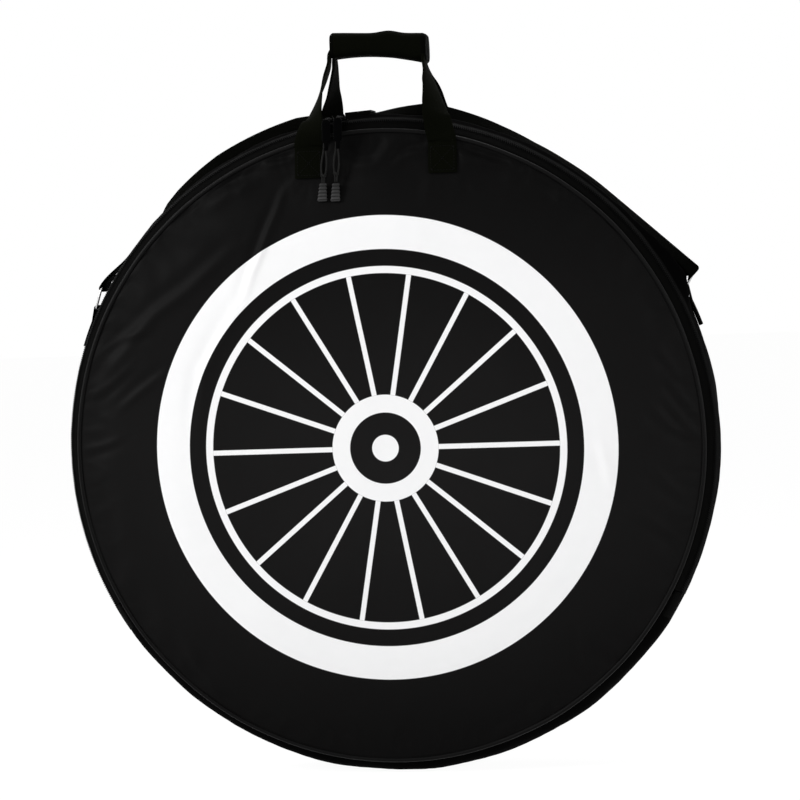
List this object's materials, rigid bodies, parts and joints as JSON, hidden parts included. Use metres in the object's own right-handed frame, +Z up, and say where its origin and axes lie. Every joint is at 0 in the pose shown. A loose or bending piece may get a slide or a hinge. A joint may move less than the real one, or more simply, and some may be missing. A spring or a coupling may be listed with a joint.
{
  "type": "bike wheel bag",
  "caption": "Round padded bag for one bicycle wheel, with a zippered front panel that folds down, two carry handles with a padded grip and a shoulder strap.",
  "frame": {"origin": "on the floor, under the middle of the rim, half way through the bag's depth", "axes": "+X to the bag's right seen from the front, +Y to the back, +Z up; the zippered panel faces -Y"},
  "size_m": [0.7498, 0.123, 0.846],
  "materials": {
    "black_nylon": "plain woven nylon, satin",
    "black_webbing": "ribbed webbing and mesh, matt",
    "grey_foam": "closed-cell foam, matt",
    "grey_lining": "thin smooth lining",
    "black_trim": "piping, tape and cord, matt",
    "zipper_plastic": "moulded nylon coil",
    "dark_metal": "black painted die casting",
    "bright_metal": "polished steel wire",
    "grey_rubber": "soft moulded rubber, matt",
    "black_plastic": "moulded plastic, matt"
  },
  "bodies": {
    "shell": {"back_panel_shell": "black_nylon", "back_panel_foam": "grey_foam", "back_panel_lining": "grey_lining", "lower_front_shell": "black_nylon", "lower_front_foam": "grey_foam", "lower_front_lining": "grey_lining", "hub_guard_back": "black_plastic", "back_piping": "black_trim", "front_piping_lower": "black_trim", "gusset_upper": "black_nylon", "gusset_lower": "black_nylon", "zipper_tape_rear": "black_trim", "zipper_coil_rear": "zipper_plastic", "zipper_end_tab_left": "black_webbing", "zipper_end_tab_right": "black_webbing", "handle_end_rear_left": "black_webbing", "handle_end_rear_right": "black_webbing", "shoulder_strap": "black_webbing", "strap_ring_left": "bright_metal", "strap_ring_right": "bright_metal", "ring_tab_left": "black_webbing", "ring_tab_right": "black_webbing"},
    "front_panel": {"front_panel_shell": "black_nylon", "front_panel_foam": "grey_foam", "front_panel_lining": "grey_lining", "hub_guard_front": "black_plastic", "front_piping_upper": "black_trim", "zipper_tape_front": "black_trim", "zipper_coil_front": "zipper_plastic", "handle_end_front_left": "black_webbing", "handle_end_front_right": "black_webbing"},
    "slider_left": {"slider_left": "dark_metal"},
    "slider_right": {"slider_right": "dark_metal"},
    "pull_left": {"pull_cord_left": "black_trim", "pull_end_left": "grey_rubber"},
    "pull_right": {"pull_cord_right": "black_trim", "pull_end_right": "grey_rubber"},
    "front_handle": {"front_handle_webbing": "black_webbing", "front_grip_half": "black_webbing"},
    "rear_handle": {"rear_handle_webbing": "black_webbing", "rear_grip_half": "black_webbing"},
    "adjuster": {"strap_adjuster": "black_plastic"}
  },
  "joints": [
    {"name": "front_panel_fold", "type": "hinge", "parent": "shell", "child": "front_panel", "pos_m": [0, -0.0603, 0.19645], "axis": [1, 0, 0], "range_deg": [0, 105]},
    {"name": "slider_left_run", "type": "hinge", "parent": "shell", "child": "slider_left", "pos_m": [0, -0.031, 0.3725], "axis": [0, 1, 0], "range_deg": [-107, 0]},
    {"name": "slider_right_run", "type": "hinge", "parent": "shell", "child": "slider_right", "pos_m": [0, -0.031, 0.3725], "axis": [0, 1, 0], "range_deg": [0, 121]},
    {"name": "pull_left_swing", "type": "hinge", "parent": "slider_left", "child": "pull_left", "pos_m": [-0.0527, -0.031, 0.74543], "axis": [0, 1, 0], "range_deg": [0, 107]},
    {"name": "pull_right_swing", "type": "hinge", "parent": "slider_right", "child": "pull_right", "pos_m": [-0.03956, -0.031, 0.74705], "axis": [0, 1, 0], "range_deg": [-121, 0]},
    {"name": "front_handle_fold", "type": "hinge", "parent": "front_panel", "child": "front_handle", "pos_m": [0, -0.0505, 0.714], "axis": [1, 0, 0], "range_deg": [0, 140]},
    {"name": "rear_handle_fold", "type": "hinge", "parent": "shell", "child": "rear_handle", "pos_m": [0, 0.0505, 0.714], "axis": [1, 0, 0], "range_deg": [-140, 0]},
    {"name": "adjuster_slide", "type": "hinge", "parent": "shell", "child": "adjuster", "pos_m": [0, 0.012, 0.3725], "axis": [0, 1, 0], "range_deg": [-34, 41]}
  ],
  "couplings": [
    {"joint": "slider_left_run", "follows": "front_panel_fold", "ratio": -1.0189},
    {"joint": "slider_right_run", "follows": "front_panel_fold", "ratio": 1.1523},
    {"joint": "pull_left_swing", "follows": "front_panel_fold", "ratio": 1.0189},
    {"joint": "pull_right_swing", "follows": "front_panel_fold", "ratio": -1.1523}
  ]
}
